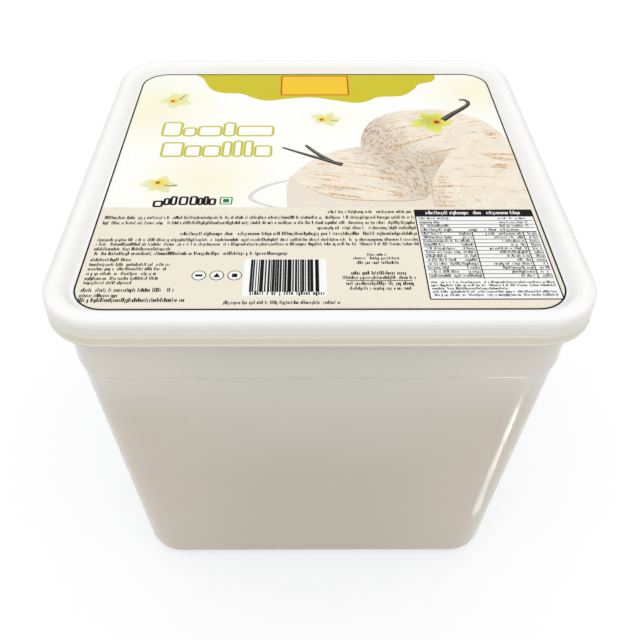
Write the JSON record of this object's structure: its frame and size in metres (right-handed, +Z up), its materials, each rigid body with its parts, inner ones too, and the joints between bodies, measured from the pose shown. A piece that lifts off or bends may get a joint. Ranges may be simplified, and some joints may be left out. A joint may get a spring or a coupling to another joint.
{
  "type": "ice cream tub",
  "caption": "Square tapered plastic tub of ice cream, shut by a press-on lid whose raised rim frames a printed label.",
  "frame": {"origin": "middle of the base, on the surface that the tub stands on", "axes": "+Z up, +X to the right of a reader of the label, who stands on the -Y side"},
  "size_m": [0.1812, 0.1812, 0.1666],
  "materials": {
    "tub_plastic": "satin, slightly translucent white polypropylene",
    "lid_plastic": "glossy white polypropylene",
    "label_film": "printed in-mould film with a soft gloss"
  },
  "bodies": {
    "root": {"tub": "tub_plastic", "lid": "lid_plastic", "label": "label_film"}
  },
  "joints": []
}
